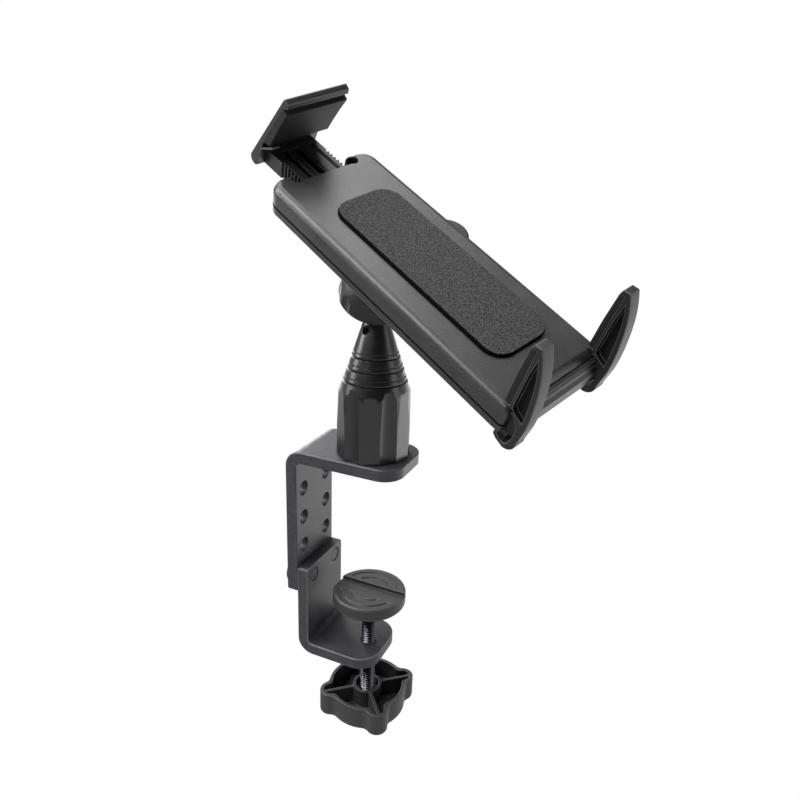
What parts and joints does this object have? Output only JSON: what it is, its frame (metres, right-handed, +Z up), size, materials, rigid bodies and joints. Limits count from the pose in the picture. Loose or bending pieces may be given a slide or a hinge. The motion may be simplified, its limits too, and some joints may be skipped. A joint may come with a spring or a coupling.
{
  "type": "tablet clamp mount",
  "caption": "Clamp for a desk edge with a pedestal and ball joint, carrying a holder whose jaw slides out on a toothed arm and whose claws slide along a rail.",
  "frame": {"origin": "centre of the seat under the top plate of the upper bracket, on the pedestal's axis, at the height of the desk's top", "axes": "+Z up along the pedestal, +X over the desk and away from its edge, +Y across the strip"},
  "size_m": [0.1864, 0.1048, 0.3305],
  "materials": {
    "black_coated_steel": "black powder coat over bent steel strip, satin",
    "black_screw_steel": "blackened steel screw, slightly oiled",
    "zinc_screw_steel": "zinc plated steel screw",
    "ball_steel": "polished steel ball",
    "spring_steel": "rolled spring steel",
    "black_anodised_aluminium": "turned aluminium, black anodised, semi gloss",
    "black_moulded_nylon": "black moulded nylon, matte",
    "dark_grey_abs": "dark grey moulded ABS with a fine matte texture",
    "black_abs": "black moulded ABS, satin",
    "black_foam": "closed cell foam sheet, coarse grain",
    "black_rubber": "black rubber, matte"
  },
  "bodies": {
    "clamp": {"upper_bracket": "black_coated_steel", "lower_bracket": "black_coated_steel", "bracket_screws": "black_screw_steel", "pedestal_bolt": "black_screw_steel", "pedestal": "black_anodised_aluminium", "stud_set_screw": "black_screw_steel"},
    "ball": {"ball_stud": "ball_steel"},
    "ring": {"ring_nut": "black_moulded_nylon"},
    "holder": {"ball_socket": "dark_grey_abs", "socket_screws": "zinc_screw_steel", "front_cover": "dark_grey_abs", "rear_cover": "dark_grey_abs", "cover_screws": "zinc_screw_steel", "face_pad": "black_foam", "claw_rail": "black_abs", "button_spring": "spring_steel"},
    "arm": {"slide_arm": "dark_grey_abs", "top_jaw": "black_abs", "jaw_pad": "black_rubber"},
    "left_claw": {"claw_left": "black_abs", "claw_pad_left": "black_rubber"},
    "right_claw": {"claw_right": "black_abs", "claw_pad_right": "black_rubber"},
    "release": {"release_button": "black_abs", "lock_bar": "black_abs"},
    "pad": {"pressure_pad": "black_moulded_nylon"},
    "screw": {"clamp_screw": "black_screw_steel", "clamp_knob": "black_moulded_nylon"}
  },
  "joints": [
    {"name": "ball_pan", "type": "hinge", "parent": "clamp", "child": "ball", "pos_m": [0, 0, 0.0906], "axis": [0, 0, 1], "continuous": true},
    {"name": "ball_tilt", "type": "hinge", "parent": "ball", "child": "ring", "pos_m": [0, 0, 0.0906], "axis": [0.7658, 0.643, 0], "range_deg": [-70, 3]},
    {"name": "ball_spin", "type": "hinge", "parent": "ring", "child": "holder", "pos_m": [0, 0, 0.0906], "axis": [0.3571, -0.4253, 0.8316], "continuous": true},
    {"name": "arm_slide", "type": "slide", "parent": "holder", "child": "arm", "axis": [-0.8396, 0.2441, 0.4853], "range_m": [-0.015, 0.06]},
    {"name": "left_claw_slide", "type": "slide", "parent": "holder", "child": "left_claw", "axis": [0.4094, 0.8715, 0.2699], "range_m": [0, 0.016]},
    {"name": "right_claw_slide", "type": "slide", "parent": "holder", "child": "right_claw", "axis": [0.4094, 0.8715, 0.2699], "range_m": [-0.016, 0]},
    {"name": "button_press", "type": "slide", "parent": "holder", "child": "release", "axis": [-0.4094, -0.8715, -0.2699], "range_m": [0, 0.0025], "stiffness_N_per_m": 600, "springref_m": -0.001, "deforming": ["button_spring"]},
    {"name": "pad_travel", "type": "slide", "parent": "clamp", "child": "pad", "axis": [0, 0, 1], "range_m": [-0.024, 0.023]},
    {"name": "screw_turn", "type": "hinge", "parent": "pad", "child": "screw", "pos_m": [0, 0, -0.11], "axis": [0, 0, 1], "range_deg": [-6920, 6630]}
  ],
  "couplings": [
    {"joint": "screw_turn", "follows": "pad_travel", "rad_per_m": 5026.5}
  ]
}
